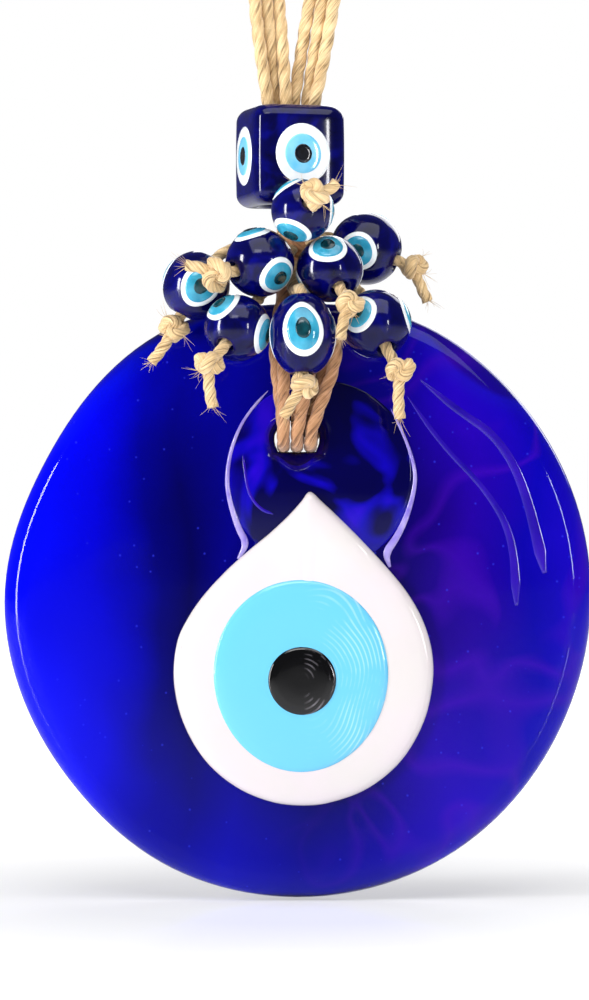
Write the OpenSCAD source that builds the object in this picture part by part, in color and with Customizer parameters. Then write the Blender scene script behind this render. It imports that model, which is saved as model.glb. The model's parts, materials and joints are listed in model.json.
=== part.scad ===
// Evil eye ornament: a cobalt glass disc on a jute loop, with a cube bead and a cluster of small beads.
// The front faces -Y. The origin is the top inside of the loop, where a nail or hook bears.

/* [Glass disc] */
// Diameter of the disc
disc_w = 101; // [90:1:110]
// Thickness of the disc
disc_t = 9; // [8:0.5:10]
// Drop from the hanging point to the centre of the disc
disc_drop = 136; // [136:1:140]
// Diameter of the hole that the cords pass through
hole_w = 8.6; // [8.6:0.2:10]
// Height of the hole above the centre of the disc
hole_up = 27; // [26:0.5:28]

/* [Eye on the disc] */
// Diameter of the round lump of glass about the hole
gather_w = 32; // [28:1:34]
// Height of that lump above the disc
gather_t = 1; // [0.6:0.1:1.2]
// Thickness of the pale thread of glass about the lump
trail_w = 1.2; // [0.8:0.1:1.4]
// Diameter of the round part of the white drop
drop_w = 44; // [40:1:46]
// Height of the white drop above the disc
drop_t = 1.8; // [1.4:0.1:2.2]
// Distance of the drop's round centre below the centre of the disc
drop_down = 12; // [10:0.5:14]
// Diameter of the light blue iris
iris_w = 31; // [28:0.5:33]
// Height of the iris above the white drop
iris_t = 0.9; // [0.5:0.1:1.2]
// Diameter of the black pupil
pupil_w = 11.6; // [10:0.2:13]
// Height of the pupil above the iris
pupil_t = 0.6; // [0.4:0.1:1]

/* [Cube bead] */
// Width of the cube bead
cube_w = 16; // [15:0.5:17]
// Height of the cube bead
cube_h = 17; // [16:0.5:18]
// Angle that the cube is turned to on its cords
cube_turn = 16; // [0:1:30]
// Diameter of the cube's bore
cube_bore_w = 8.8; // [8.6:0.2:9.4]
// Diameter of the bore's flared mouths
cube_mouth_w = 12; // [11.6:0.2:12.4]
// Diameter of the white of each cube eye
cube_eye_w = 9.6; // [8:0.2:10]

/* [Small beads] */
// Diameter of each bead's bore
bead_bore_w = 2.8; // [2.6:0.1:3]
// Diameter of the white of each bead eye
bead_eye_w = 7.2; // [6:0.2:7.6]

/* [Cords] */
// Thickness of the jute cords
cord_w = 2.1; // [1.8:0.1:2.2]
// Diameter of the knot that ends each bead's cord
end_knot_w = 5; // [4.4:0.2:5.4]
// Diameter of the bound core that all the bead cords spring from
core_w = 6.8; // [6:0.2:7]

/* [Hidden] */
$fn = 64;

// Disc
edge_r = 4.4;
edge_bulge = 0.4;
disc_face = -disc_t / 2;
gather_x = 4;
gather_down = 5.3;
drop_tip = 31;
drop_side = 0.78;
iris_face = disc_face - drop_t;
pupil_face = iris_face - iris_t;

// Cube bead
cube_x = -1.2;
cube_z = -60;
cube_corner_r = 2.5;
mouth_deep = 3.4;
cube_blue_w = 6.4;
cube_pupil_w = 3;
inlay_deep = 0.9;
inlay_proud = 0.15;

// Small beads: name, centre, lean of the bore from +Z, heading of the lean, spin of the eyes,
// radius, the cord's points from the core to the bead, its end knot's centre and its tail's end.
BEADS = [
    ["top", [0.9, -14.7, -70.1], 74, -73, 90, 5.2,
        [[0.6, -3.2, -73.5]], [3, -22, -68.1], [6.6, -21.5, -66]],
    ["back", [11.8, 2.4, -75.5], 111, -12, -82, 6.2,
        [[3.2, 0.9, -75]], [19.9, 0.8, -78.7], [22.4, 0.6, -84.6]],
    ["centre", [5.5, -10.8, -79.7], 132, -63, -157, 5.6,
        [[2.5, -2.2, -75]], [8.8, -19, -86], [7.2, -21.4, -91.8]],
    ["left", [-6.2, -11.8, -78.7], 108, -148, 60, 5.8,
        [[-1.6, -2.9, -76]], [-13.4, -16.2, -80.8], [-18.6, -17, -79.4]],
    ["far_left", [-17, -7.8, -82.3], 153, 180, 80, 5.6,
        [[-3.2, -0.6, -75.5]], [-20.7, -8.2, -89.6], [-24.6, -8.8, -95.4]],
    ["low_left", [-10, -13.8, -89.8], 127, -120, -166, 5.6,
        [[-3.1, -1.1, -78.6], [-6.2, -6, -84.2]], [-14.6, -18.8, -95.8], [-14, -18.8, -103.2]],
    ["low_centre", [1, -17.4, -91], 171, -90, 180, 5.5,
        [[-0.3, -3.3, -78.6], [-1, -6.5, -80.2], [-0.6, -9.6, -84]], [1.2, -18.8, -99.3], [-2.2, -18.8, -104.8]],
    ["low_right", [13.3, -11.4, -89], 141, -61, -120, 5.8,
        [[3.1, 0.7, -78], [8, -2, -81]], [17.4, -15.6, -96.8], [17.2, -15.6, -105]]
];
bead_flat = 0.93;
bead_eye_deep = 0.6;
bead_eye_proud = 0.12;
bead_blue_w = 5.4;
bead_pupil_w = 2.9;
string_gap = 1.4;
joint_r = 0.6 * cord_w;
tail_w = 1.8;

// Core
core_top = -71.5;
core_len = 9.5;

// Cords: the routes of the hanging loop's three cords, each up one side and down the other.
HANG_FRONT = [
    [-2.3, -1.1, -71.5], [-2.3, -1.1, -70], [-3.5, -1.1, -66], [-3.5, -1.1, -56], [-4.9, -0.8, -51.5],
    [-7.3, -0.8, -34], [-8, -1.6, -20], [-7.2, -2.4, -7], [-4.8, -2.4, -1.4], [0, -2.4, 1.1],
    [4.8, -2.4, -1.4], [7.2, -2.4, -7], [8, -1.6, -20], [6.4, -0.8, -34],
    [3, -0.7, -51.5], [1.1, -1.1, -56], [1.1, -1.1, -66], [2.3, -1.1, -70], [2.3, -1.1, -71.5]
];
HANG_MIDDLE = [
    [-2.3, 1.1, -71.5], [-2.3, 1.1, -70], [-3.5, 1.1, -66], [-3.5, 1.1, -56], [-3.4, 1.1, -51.5],
    [-5.1, 0.1, -34], [-6.4, 0, -20], [-7.2, 0, -7], [-4.8, 0, -1.4], [0, 0, 1.1],
    [4.8, 0, -1.4], [7.2, 0, -7], [6.4, 0, -20], [4.2, 0.1, -34],
    [1.6, 1.2, -51.5], [1.1, 1.1, -56], [1.1, 1.1, -66], [2.3, 1.1, -70], [2.3, 1.1, -71.5]
];
HANG_BACK = [
    [0, -1.1, -71.5], [0, -1.1, -70], [-1.2, -1.1, -66], [-1.2, -1.1, -56], [-1.8, -0.9, -51.5],
    [-2.9, 0.8, -34], [-4.8, 1.6, -20], [-7.2, 2.4, -7], [-4.8, 2.4, -1.4], [0, 2.4, 1.1],
    [4.8, 2.4, -1.4], [7.2, 2.4, -7], [4.8, 1.6, -20], [2, 0.8, -34],
    [-0.7, 1.2, -51.5], [-1.2, 1.1, -56], [-1.2, 1.1, -66], [0, 1.1, -70], [0, 1.1, -71.5]
];

// Cords: each hole cord's route as Y, Z and fan: 0 where it is tied, 1 in the fan, 2 in the hole.
HOLE_INNER = [
    [-3, -84.2, 0], [-5.2, -86.4, 0.3], [-6.9, -92, 1], [-6.9, -105.6, 2], [-5.4, -107.3, 2],
    [5.4, -107.3, 2], [6.4, -104.6, 1.8], [6.4, -90, 1], [5.5, -86.8, 0.3], [2.6, -84.4, 0]
];
HOLE_OUTER = [
    [-3.3, -82.6, 0], [-5.7, -84.2, 0], [-7.7, -87, 0.4], [-9.1, -93, 1], [-9.1, -106.8, 2],
    [-7.2, -109.5, 2], [7.2, -109.5, 2], [8.6, -106, 1.8], [8.6, -90, 1], [6.2, -84.6, 0.2], [3.3, -83, 0]
];

// Hole cord X places: where it is tied, in the fan and in the hole.
HOLE_SPREAD = [[-2.4, -4, -2.3], [0, 1.4, 0], [2.3, 5.8, 2.3]];
outer_shift = 1.8;
TUBE_SIDES = 8;

function unit(v) = v / norm(v);

// Unit vector along a route at point i.
function heading(route, i) =
    unit(route[min(i + 1, len(route) - 1)] - route[max(i - 1, 0)]);

// Ring of points about a centre, square to the way ahead; side fixes how the ring is turned.
function ring(centre, ahead, side) =
    let (across = unit(cross(ahead, side)), up = cross(across, ahead))
    [for (k = [0:TUBE_SIDES - 1])
        centre + cord_w / 2 * (across * cos(360 * k / TUBE_SIDES) + up * sin(360 * k / TUBE_SIDES))];

// Corner number of ring i, side k.
function corner(i, k) = i * TUBE_SIDES + k % TUBE_SIDES;

// Outline of the white drop: a round arc below, and two straight flanks that meet at the tip.
function drop_outline(w) =
    let (r = w / 2, tip = drop_tip * w / drop_w, reach = 180 - acos(r / tip) * drop_side)
    concat([[0, tip]], [for (k = [-24:24]) r * [sin(180 + k * reach / 24), cos(180 + k * reach / 24)]]);

// X of a hole cord at fan value f, with its fan place moved by shift.
function hole_x(spread, f, shift) =
    let (from = floor(min(f, 1)), places = [spread[0], spread[1] + shift, spread[2]])
    places[from] + (f - from) * (places[from + 1] - places[from]);

// Route of one hole cord.
function hole_route(spread, side_route, shift) =
    [for (p = side_route) [hole_x(spread, p[2], shift), p[0], p[1]]];

// Cord swept along a route as one closed tube.
module cord_tube(route, side) {
    last = len(route) - 1;
    points = [for (i = [0:last]) each ring(route[i], heading(route, i), side)];
    walls = [for (i = [0:last - 1], k = [0:TUBE_SIDES - 1]) each [
        [corner(i, k), corner(i, k + 1), corner(i + 1, k + 1)],
        [corner(i, k), corner(i + 1, k + 1), corner(i + 1, k)]
    ]];
    start_cap = [for (k = [TUBE_SIDES - 1:-1:0]) corner(0, k)];
    end_cap = [for (k = [0:TUBE_SIDES - 1]) corner(last, k)];
    polyhedron(points, concat([start_cap], walls, [end_cap]));
}

// Straight length of cord between two points.
// Moves its children to a point, with Z along the run from there to the next point.
module along(from, to) {
    run = to - from;
    translate(from) rotate([0, acos(run[2] / norm(run)), atan2(run[1], run[0])]) children();
}

module straight_cord(from, to, w = cord_w) {
    along(from, to) cylinder(h = norm(to - from), d = w, $fn = 24);
}

// Moves its children from the front of the disc's centre, with Z as the way out, to the row frame.
module on_disc(x, up, y) {
    translate([x, y, up - disc_drop]) rotate([90, 0, 0]) children();
}

module hole(w = hole_w) {
    on_disc(0, hole_up, disc_t) cylinder(h = 3 * disc_t, d = w);
}

module drop_solid(w, h) {
    linear_extrude(h) polygon(drop_outline(w));
}

module cobalt_disc() {
    core_r = disc_w / 2 - edge_r;
    color("#0a14b8")
        difference() {
            on_disc(0, 0, 0)
                rotate_extrude($fn = 128)
                    union() {
                        translate([0, -disc_t / 2]) square([core_r, disc_t]);
                        intersection() {
                            translate([core_r - edge_bulge, 0]) circle(d = disc_t + 2 * edge_bulge);
                            translate([core_r - 1, -disc_t / 2]) square([edge_r + 2, disc_t]);
                        }
                    }
            hole();
        }
}

// Half section of a low dome, w across and h high.
module dome_section(w, h) {
    cap_r = (pow(w / 2, 2) + h * h) / (2 * h);
    arc = asin(w / 2 / cap_r);
    polygon(concat([[0, 0]], [for (k = [8:-1:0]) [cap_r * sin(arc * k / 8), h - cap_r * (1 - cos(arc * k / 8))]]));
}

module hole_gather() {
    color("#0a0f8c")
        difference() {
            on_disc(gather_x, hole_up - gather_down, disc_face)
                rotate_extrude($fn = 128) dome_section(gather_w, gather_t);
            hole();
            on_disc(0, -drop_down, disc_face + 1) drop_solid(drop_w, drop_t + 2);
        }
}

module gather_trail() {
    color("#8f86d8")
        difference() {
            on_disc(gather_x, hole_up - gather_down, disc_face)
                intersection() {
                    rotate_extrude($fn = 96)
                        translate([gather_w / 2 + trail_w / 2 + 0.1, 0]) circle(d = trail_w, $fn = 24);
                    cylinder(h = trail_w, d = gather_w + 4 * trail_w);
                }
            on_disc(0, -drop_down, disc_face + 1) drop_solid(drop_w, drop_t + 2);
        }
}

module white_drop() {
    color("#ece7e2")
        on_disc(0, -drop_down, disc_face) drop_solid(drop_w, drop_t);
}

module blue_iris() {
    color("#74cbef")
        on_disc(0, -drop_down, iris_face) cylinder(h = iris_t, d = iris_w);
}

module black_pupil() {
    color("#050508")
        on_disc(0, -drop_down - 1, pupil_face) cylinder(h = pupil_t, d = pupil_w);
}

// Places its children about the cube's centre, turned as the cube is.
module at_cube() {
    translate([cube_x, 0, cube_z]) rotate([0, 0, cube_turn]) children();
}

// A round inlay on each of the cube's four sides, from its depth to its height outside the face.
module cube_inlays(w, proud = inlay_proud) {
    for (side = [0:3])
        rotate([0, 0, 90 * side])
            translate([0, -cube_w / 2 + inlay_deep, 0])
                rotate([90, 0, 0])
                    cylinder(h = inlay_deep + proud, d = w);
}

module cube_glass() {
    reach_xy = cube_w / 2 - cube_corner_r;
    reach_z = cube_h / 2 - cube_corner_r;
    color("#0a1290")
        at_cube()
            difference() {
                hull()
                    for (x = [-1, 1], y = [-1, 1], z = [-1, 1])
                        translate([x * reach_xy, y * reach_xy, z * reach_z])
                            sphere(r = cube_corner_r, $fn = 24);
                cylinder(h = cube_h + 2, d = cube_bore_w, center = true);
                for (end = [0, 1])
                    mirror([0, 0, end])
                        translate([0, 0, cube_h / 2 - mouth_deep])
                            cylinder(h = mouth_deep + 0.01, d1 = cube_bore_w, d2 = cube_mouth_w);
                cube_inlays(cube_eye_w, 1);
            }
}

module cube_eye_whites() {
    color("#f2f0ee")
        at_cube()
            difference() {
                cube_inlays(cube_eye_w);
                cube_inlays(cube_blue_w, 1);
            }
}

module cube_eye_blues() {
    color("#4bb4e2")
        at_cube()
            difference() {
                cube_inlays(cube_blue_w);
                cube_inlays(cube_pupil_w, 1);
            }
}

module cube_eye_pupils() {
    color("#0a0a10")
        at_cube() cube_inlays(cube_pupil_w);
}

// Places its children at small bead b, with the bore along their Z and eye 0 on their X.
module at_bead(b) {
    translate(b[1]) rotate([0, b[2], b[3]]) rotate([0, 0, b[4]]) children();
}

// Three round plugs at 120 degrees about the bore, each from a floor inside the bead to past its skin.
module eye_plugs(b, w) {
    eye_floor = sqrt(pow(b[5], 2) - pow(bead_eye_w / 2, 2)) - bead_eye_deep;
    for (eye = [0:2])
        rotate([0, 0, 120 * eye])
            translate([eye_floor, 0, 0])
                rotate([0, 90, 0])
                    cylinder(h = b[5] - eye_floor + 1, d = w, $fn = 96);
}

// The same plugs cut off by a sphere just outside the bead, which gives each a rounded face.
module eye_inlays(b, w, inner_w) {
    intersection() {
        difference() {
            eye_plugs(b, w);
            if (inner_w > 0) eye_plugs(b, inner_w);
        }
        sphere(r = b[5] + bead_eye_proud, $fn = 96);
    }
}

module bead_glass(b) {
    color("#14145a")
        at_bead(b)
            difference() {
                intersection() {
                    sphere(r = b[5]);
                    cylinder(h = 2 * bead_flat * b[5], r = b[5] + 1, center = true);
                }
                cylinder(h = 3 * b[5], d = bead_bore_w, center = true, $fn = 32);
                eye_plugs(b, bead_eye_w);
            }
}

module bead_whites(b) {
    color("#e6f0f0") at_bead(b) eye_inlays(b, bead_eye_w, bead_blue_w);
}

module bead_blues(b) {
    color("#4bafc8") at_bead(b) eye_inlays(b, bead_blue_w, bead_pupil_w);
}

module bead_pupils(b) {
    color("#12262e") at_bead(b) eye_inlays(b, bead_pupil_w, 0);
}

// Cord of bead b: from the core, round its bends, through the bore to the end knot and the tail.
module bead_string(b) {
    out = [sin(b[2]) * cos(b[3]), sin(b[2]) * sin(b[3]), cos(b[2])];
    end = out * (b[5] + string_gap);
    route = concat(b[6], [b[1] - end, b[1] + end, b[7]]);
    last = len(route) - 1;
    color("#d2b482")
        union() {
            for (i = [0:last - 1]) straight_cord(route[i], route[i + 1]);
            for (i = [1:last - 1]) along(route[i], route[i + 1]) sphere(r = joint_r, $fn = 24);
            along(b[7], b[8]) sphere(d = end_knot_w, $fn = 32);
            straight_cord(b[7], b[8], tail_w);
        }
}

module cluster_core() {
    color("#b98a5a")
        translate([0, 0, core_top - core_len]) cylinder(h = core_len, d = core_w);
}

module hanging_cord(route) {
    color("#d9c198") cord_tube(route, [0, 1, 0]);
}

module hole_cords(spread) {
    color("#c19a68") {
        cord_tube(hole_route(spread, HOLE_INNER, 0), [1, 0, 0]);
        cord_tube(hole_route(spread, HOLE_OUTER, outer_shift), [1, 0, 0]);
    }
}

cobalt_disc();
hole_gather();
gather_trail();
white_drop();
blue_iris();
black_pupil();
cube_glass();
cube_eye_whites();
cube_eye_blues();
cube_eye_pupils();
for (b = BEADS) {
    bead_glass(b);
    bead_whites(b);
    bead_blues(b);
    bead_pupils(b);
    bead_string(b);
}
cluster_core();
hanging_cord(HANG_FRONT);  // front_hanging_cord
hanging_cord(HANG_MIDDLE);  // middle_hanging_cord
hanging_cord(HANG_BACK);  // back_hanging_cord
hole_cords(HOLE_SPREAD[0]);  // left_hole_cords
hole_cords(HOLE_SPREAD[1]);  // middle_hole_cords
hole_cords(HOLE_SPREAD[2]);  // right_hole_cords
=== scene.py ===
"""Evil eye ornament: a cobalt glass disc hung from jute cords under a cube bead and eight small beads."""

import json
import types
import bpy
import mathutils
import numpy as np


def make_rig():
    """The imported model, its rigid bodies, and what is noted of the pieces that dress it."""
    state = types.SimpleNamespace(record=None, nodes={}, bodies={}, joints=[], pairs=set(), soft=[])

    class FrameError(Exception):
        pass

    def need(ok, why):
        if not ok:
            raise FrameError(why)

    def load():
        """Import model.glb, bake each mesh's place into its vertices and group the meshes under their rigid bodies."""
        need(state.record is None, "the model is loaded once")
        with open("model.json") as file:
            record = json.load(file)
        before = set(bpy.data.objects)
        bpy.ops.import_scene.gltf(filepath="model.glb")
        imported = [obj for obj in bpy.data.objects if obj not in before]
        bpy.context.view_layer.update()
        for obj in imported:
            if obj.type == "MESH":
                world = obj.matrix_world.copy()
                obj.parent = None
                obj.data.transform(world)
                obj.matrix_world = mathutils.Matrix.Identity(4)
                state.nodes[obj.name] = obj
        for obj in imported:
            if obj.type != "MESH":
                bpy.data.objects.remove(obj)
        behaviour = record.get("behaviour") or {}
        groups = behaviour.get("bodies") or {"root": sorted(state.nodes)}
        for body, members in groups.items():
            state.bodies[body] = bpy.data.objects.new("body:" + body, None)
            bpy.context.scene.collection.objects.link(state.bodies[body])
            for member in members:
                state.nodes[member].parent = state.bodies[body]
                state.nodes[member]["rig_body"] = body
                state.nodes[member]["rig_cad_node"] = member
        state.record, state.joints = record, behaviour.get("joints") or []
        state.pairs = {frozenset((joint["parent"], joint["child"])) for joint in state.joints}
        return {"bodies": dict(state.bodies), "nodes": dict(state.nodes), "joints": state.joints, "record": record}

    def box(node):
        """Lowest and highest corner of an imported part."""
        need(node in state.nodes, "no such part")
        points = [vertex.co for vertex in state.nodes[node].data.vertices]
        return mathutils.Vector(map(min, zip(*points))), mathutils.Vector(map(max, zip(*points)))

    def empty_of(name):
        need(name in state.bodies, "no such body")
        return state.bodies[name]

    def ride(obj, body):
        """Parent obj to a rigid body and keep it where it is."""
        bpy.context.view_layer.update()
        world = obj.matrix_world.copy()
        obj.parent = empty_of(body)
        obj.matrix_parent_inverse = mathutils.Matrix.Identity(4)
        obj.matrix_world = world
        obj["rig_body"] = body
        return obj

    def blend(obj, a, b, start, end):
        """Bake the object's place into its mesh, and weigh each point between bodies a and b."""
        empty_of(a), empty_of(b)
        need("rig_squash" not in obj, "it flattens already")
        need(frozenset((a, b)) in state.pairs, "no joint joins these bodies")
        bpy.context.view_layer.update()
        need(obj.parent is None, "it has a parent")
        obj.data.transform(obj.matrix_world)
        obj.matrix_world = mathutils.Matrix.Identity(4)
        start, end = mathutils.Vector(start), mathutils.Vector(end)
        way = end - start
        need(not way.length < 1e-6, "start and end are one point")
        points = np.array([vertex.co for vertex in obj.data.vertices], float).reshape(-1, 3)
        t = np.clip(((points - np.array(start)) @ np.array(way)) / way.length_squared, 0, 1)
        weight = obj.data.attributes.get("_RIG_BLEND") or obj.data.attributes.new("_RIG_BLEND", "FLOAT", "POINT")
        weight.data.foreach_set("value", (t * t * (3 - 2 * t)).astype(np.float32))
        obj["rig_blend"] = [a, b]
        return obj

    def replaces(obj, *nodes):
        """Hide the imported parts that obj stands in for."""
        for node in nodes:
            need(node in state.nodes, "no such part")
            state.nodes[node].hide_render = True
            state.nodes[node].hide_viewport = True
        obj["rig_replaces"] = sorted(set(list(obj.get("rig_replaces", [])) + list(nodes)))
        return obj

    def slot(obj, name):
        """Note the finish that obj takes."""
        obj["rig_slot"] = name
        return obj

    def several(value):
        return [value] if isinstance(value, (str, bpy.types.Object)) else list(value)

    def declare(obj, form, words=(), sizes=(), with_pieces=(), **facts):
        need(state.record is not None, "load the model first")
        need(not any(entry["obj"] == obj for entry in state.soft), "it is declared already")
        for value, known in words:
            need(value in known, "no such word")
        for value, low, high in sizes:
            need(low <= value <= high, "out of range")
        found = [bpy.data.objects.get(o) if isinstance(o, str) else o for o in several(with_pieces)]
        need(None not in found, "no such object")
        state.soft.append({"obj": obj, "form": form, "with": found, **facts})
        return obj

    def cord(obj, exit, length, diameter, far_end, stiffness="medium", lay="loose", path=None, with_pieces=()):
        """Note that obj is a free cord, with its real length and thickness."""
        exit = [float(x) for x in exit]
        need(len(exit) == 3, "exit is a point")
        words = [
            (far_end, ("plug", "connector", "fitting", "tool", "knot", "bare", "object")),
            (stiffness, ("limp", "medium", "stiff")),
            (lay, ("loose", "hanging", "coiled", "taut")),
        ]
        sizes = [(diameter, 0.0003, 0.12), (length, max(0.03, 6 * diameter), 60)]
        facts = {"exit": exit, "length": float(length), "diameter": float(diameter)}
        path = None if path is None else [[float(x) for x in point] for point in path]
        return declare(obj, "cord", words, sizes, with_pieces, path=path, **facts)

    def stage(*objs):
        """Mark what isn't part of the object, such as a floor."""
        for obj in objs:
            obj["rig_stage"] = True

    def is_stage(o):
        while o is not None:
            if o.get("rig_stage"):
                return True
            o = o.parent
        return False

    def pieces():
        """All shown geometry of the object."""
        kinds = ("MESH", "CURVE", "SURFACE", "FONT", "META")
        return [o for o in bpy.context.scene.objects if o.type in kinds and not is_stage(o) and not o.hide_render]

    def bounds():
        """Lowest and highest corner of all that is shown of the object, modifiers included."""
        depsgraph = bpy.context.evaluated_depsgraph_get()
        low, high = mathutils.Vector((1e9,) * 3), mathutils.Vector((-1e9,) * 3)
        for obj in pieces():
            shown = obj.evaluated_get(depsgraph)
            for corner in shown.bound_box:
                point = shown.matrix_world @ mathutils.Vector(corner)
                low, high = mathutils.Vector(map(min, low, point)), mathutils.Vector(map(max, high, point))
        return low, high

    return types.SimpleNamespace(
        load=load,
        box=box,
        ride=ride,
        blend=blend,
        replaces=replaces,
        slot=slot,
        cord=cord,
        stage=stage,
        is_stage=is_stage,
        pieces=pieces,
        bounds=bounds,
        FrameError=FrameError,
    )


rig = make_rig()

bl_info = {
    "name": "Evil Eye Ornament",
    "version": (1, 0, 0),
    "blender": (4, 5, 0),
    "location": "3D View > Sidebar > Ornament",
    "description": "Builds the glass, beads and cords of an evil eye ornament on its CAD frame",
    "category": "Object",
}

import json
import math
import random

import bmesh
import bpy
from mathutils import Matrix, Vector, noise

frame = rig.load()
CAD_BOX = [[float(c) for c in corner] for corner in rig.bounds()]

MM = 0.001
# How finely pieces are divided about their axis.
FACE_SEGMENTS = 144
BEAD_SEGMENTS = 48
EYE_SEGMENTS = 40
# The mesh attribute that holds each point's place in the yarn, and how much it is stretched along the yarn.
FIBRES = "fibre_lines"
FIBRE_STRETCH = 0.09
# The length of one turn of the plies, in millimetres, in the long cords, the bead cords and the knots.
CORD_TURN = 11.0
STRING_TURN = 6.4
KNOT_TURN = 6.0
# Heights in millimetres: where the hanging cords divide into loop and feet, and where each kind of cord
# passes from one body to the next.
SPLIT_Z = -58
LOOP_BLEND = (-32, -50.5)
HOLE_BLEND = (-80.6, -84.6)
# The disc, its hole and the gather about the hole, in millimetres. The hole is pinched in at its sides, and
# its lip is so close below that the outer cords sit about 0.2 mm into the glass.
DISC_Z = -136
HOLE_Z = -109
HOLE_RADIUS = 4.1
HOLE_PINCH = 0.6
HOLE_LIP = 1.4
GATHER_MIDDLE = (4, -114.3)
GATHER_RADIUS = 16
# The cube bead, in millimetres: half its width and height, its edge's radius, how square it is and its turn.
CUBE_HALF = 8.0
CUBE_HALF_HEIGHT = 8.5
CUBE_EDGE = 2.3
CUBE_SQUARENESS = 6.0
CUBE_TURN_DEGREES = 16
# A small bead's bore and its flared mouth, in millimetres, and where its ends are cut flat.
BORE_RADIUS = 1.4
BORE_FLARE = 1.75
BEAD_FLAT = 0.93
# The stage: the camera's place, the floor's gap under the object and its reach, in metres, and the strength
# of the studio's own light on the object.
CAMERA_SIDE = -0.4 * MM
CAMERA_RISE = 68 * MM
FLOOR_GAP = 0.25 * MM
FLOOR_REACH = 3.0
WORLD_LIGHT = 0.10

# The cords' routes, as in the part's source, in millimetres.
HANG_FRONT = [
    (-2.3, -1.1, -71.5), (-2.3, -1.1, -70), (-3.5, -1.1, -66), (-3.5, -1.1, -56), (-4.9, -0.8, -51.5),
    (-7.3, -0.8, -34), (-8, -1.6, -20), (-7.2, -2.4, -7), (-4.8, -2.4, -1.4), (0, -2.4, 1.1),
    (4.8, -2.4, -1.4), (7.2, -2.4, -7), (8, -1.6, -20), (6.4, -0.8, -34),
    (3, -0.7, -51.5), (1.1, -1.1, -56), (1.1, -1.1, -66), (2.3, -1.1, -70), (2.3, -1.1, -71.5),
]
HANG_MIDDLE = [
    (-2.3, 1.1, -71.5), (-2.3, 1.1, -70), (-3.5, 1.1, -66), (-3.5, 1.1, -56), (-3.4, 1.1, -51.5),
    (-5.1, 0.1, -34), (-6.4, 0, -20), (-7.2, 0, -7), (-4.8, 0, -1.4), (0, 0, 1.1),
    (4.8, 0, -1.4), (7.2, 0, -7), (6.4, 0, -20), (4.2, 0.1, -34),
    (1.6, 1.2, -51.5), (1.1, 1.1, -56), (1.1, 1.1, -66), (2.3, 1.1, -70), (2.3, 1.1, -71.5),
]
HANG_BACK = [
    (0, -1.1, -71.5), (0, -1.1, -70), (-1.2, -1.1, -66), (-1.2, -1.1, -56), (-1.8, -0.9, -51.5),
    (-2.9, 0.8, -34), (-4.8, 1.6, -20), (-7.2, 2.4, -7), (-4.8, 2.4, -1.4), (0, 2.4, 1.1),
    (4.8, 2.4, -1.4), (7.2, 2.4, -7), (4.8, 1.6, -20), (2, 0.8, -34),
    (-0.7, 1.2, -51.5), (-1.2, 1.1, -56), (-1.2, 1.1, -66), (0, 1.1, -70), (0, 1.1, -71.5),
]
# Each hole cord's route as Y, Z and fan: 0 where it is tied, 1 in the fan, 2 in the hole.
HOLE_INNER = [
    (-3, -84.2, 0), (-5.2, -86.4, 0.3), (-6.9, -92, 1), (-6.9, -105.6, 2), (-5.4, -107.3, 2),
    (5.4, -107.3, 2), (6.4, -104.6, 1.8), (6.4, -90, 1), (5.5, -86.8, 0.3), (2.6, -84.4, 0),
]
HOLE_OUTER = [
    (-3.3, -82.6, 0), (-5.7, -84.2, 0), (-7.7, -87, 0.4), (-9.1, -93, 1), (-9.1, -106.8, 2),
    (-7.2, -109.5, 2), (7.2, -109.5, 2), (8.6, -106, 1.8), (8.6, -90, 1), (6.2, -84.6, 0.2), (3.3, -83, 0),
]
# X where a hole cord is tied, in its fan and in the hole.
HOLE_SPREAD = {"left": (-2.4, -4, -2.3), "middle": (0, 1.4, 0), "right": (2.3, 5.8, 2.3)}
OUTER_SHIFT = 1.8
# Small beads: centre, lean of the bore from +Z, heading of the lean, spin of the eyes, radius, stretch
# along the bore, the cord's points from the core, its knot's centre and its tail's end.
BEADS = {
    "top": ((0.9, -14.7, -70.1), 74, -73, 90, 5.2, 1.0,
            [(0.6, -3.2, -73.5)], (3, -22, -68.1), (6.6, -21.5, -66)),
    "back": ((11.8, 2.4, -75.5), 111, -12, -82, 6.2, 1.0,
             [(3.2, 0.9, -75)], (19.9, 0.8, -78.7), (22.4, 0.6, -84.6)),
    "centre": ((5.5, -10.8, -79.7), 132, -63, -157, 5.6, 1.0,
               [(2.5, -2.2, -75)], (8.8, -19, -86), (7.2, -21.4, -91.8)),
    "left": ((-6.2, -11.8, -78.7), 108, -148, 60, 5.8, 1.0,
             [(-1.6, -2.9, -76)], (-13.4, -16.2, -80.8), (-18.6, -17, -79.4)),
    "far_left": ((-17, -7.8, -82.3), 153, 180, 80, 5.6, 1.06,
                 [(-3.2, -0.6, -75.5)], (-20.7, -8.2, -89.6), (-24.6, -8.8, -95.4)),
    "low_left": ((-10, -13.8, -89.8), 127, -120, -166, 5.6, 1.0,
                 [(-3.1, -1.1, -78.6), (-6.2, -6, -84.2)], (-14.6, -18.8, -95.8), (-14, -18.8, -103.2)),
    "low_centre": ((1, -17.4, -91), 171, -90, 180, 5.5, 1.3,
                   [(-0.3, -3.3, -78.6), (-1, -6.5, -80.2), (-0.6, -9.6, -84)], (1.2, -18.8, -99.3),
                   (-2.2, -18.8, -104.8)),
    "low_right": ((13.3, -11.4, -89), 141, -61, -120, 5.8, 1.0,
                  [(3.1, 0.7, -78), (8, -2, -81)], (17.4, -15.6, -96.8), (17.2, -15.6, -105)),
}
STRING_GAP = 1.4
SHORTEST_CORD = 30 * MM
CORE_TOP = -71.5
# The disc's outline: angle from +X about its centre, and radius. It is pulled by hand, so it isn't round.
OUTLINE = [
    (0, 50.3), (38, 51.2), (66, 52.2), (90, 51.2), (116, 51.6), (150, 49.3), (180, 50), (218, 49.4),
    (245, 50.3), (270, 50.5), (300, 50.5), (335, 50),
]
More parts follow.
